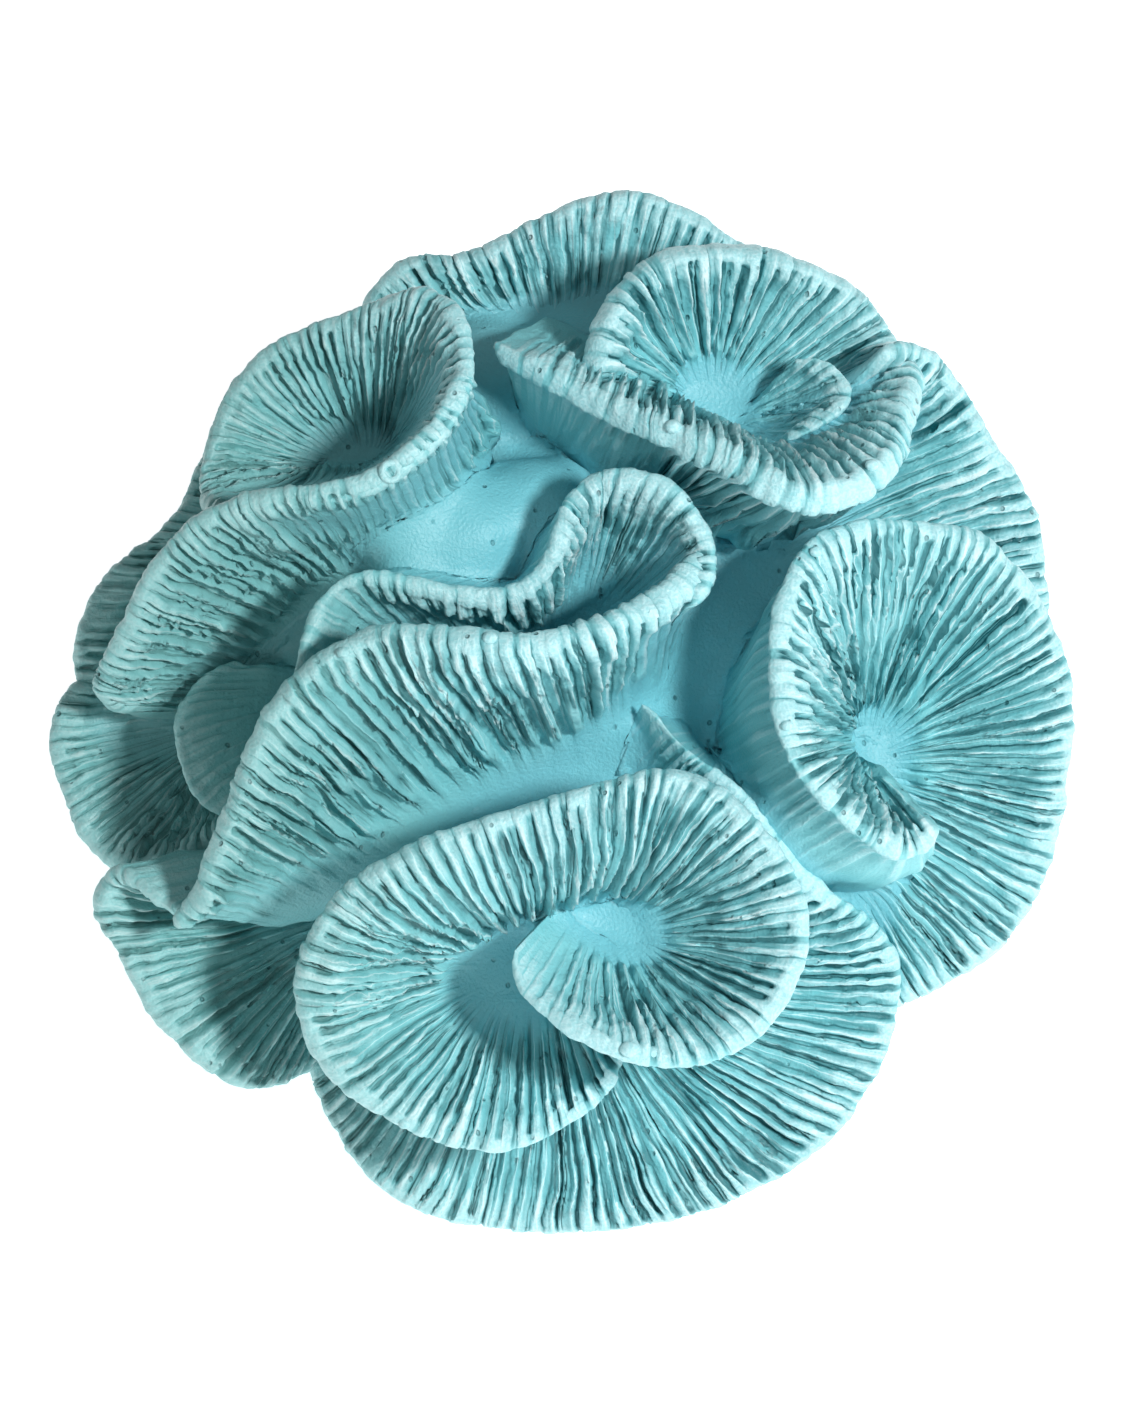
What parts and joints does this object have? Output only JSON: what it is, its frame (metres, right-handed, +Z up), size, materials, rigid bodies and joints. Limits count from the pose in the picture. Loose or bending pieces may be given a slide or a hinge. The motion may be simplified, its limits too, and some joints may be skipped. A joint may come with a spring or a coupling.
{
  "type": "mushroom coral",
  "caption": "Rounded ornamental coral of thin ruffled plates with radial ridges, curled into cups and folds round a stump cut off flat below.",
  "frame": {"origin": "centre of the flat cut that the coral stands on", "axes": "+Z up from the cut, -Y to the front, +X to the right as seen from the front"},
  "size_m": [0.21, 0.1794, 0.1478],
  "materials": {
    "aqua_plaster": "satin-matte cast surface, aqua"
  },
  "bodies": {
    "root": {"base": "aqua_plaster", "front_curl": "aqua_plaster", "right_shell": "aqua_plaster", "centre_ruffle": "aqua_plaster", "crown_cup": "aqua_plaster", "upper_left_cup": "aqua_plaster", "front_skirt": "aqua_plaster", "lower_left_shell": "aqua_plaster", "left_lobe": "aqua_plaster", "left_shell": "aqua_plaster", "right_plate": "aqua_plaster", "left_back_skirt": "aqua_plaster", "back_ruffle": "aqua_plaster", "back_skirt": "aqua_plaster"}
  },
  "joints": []
}
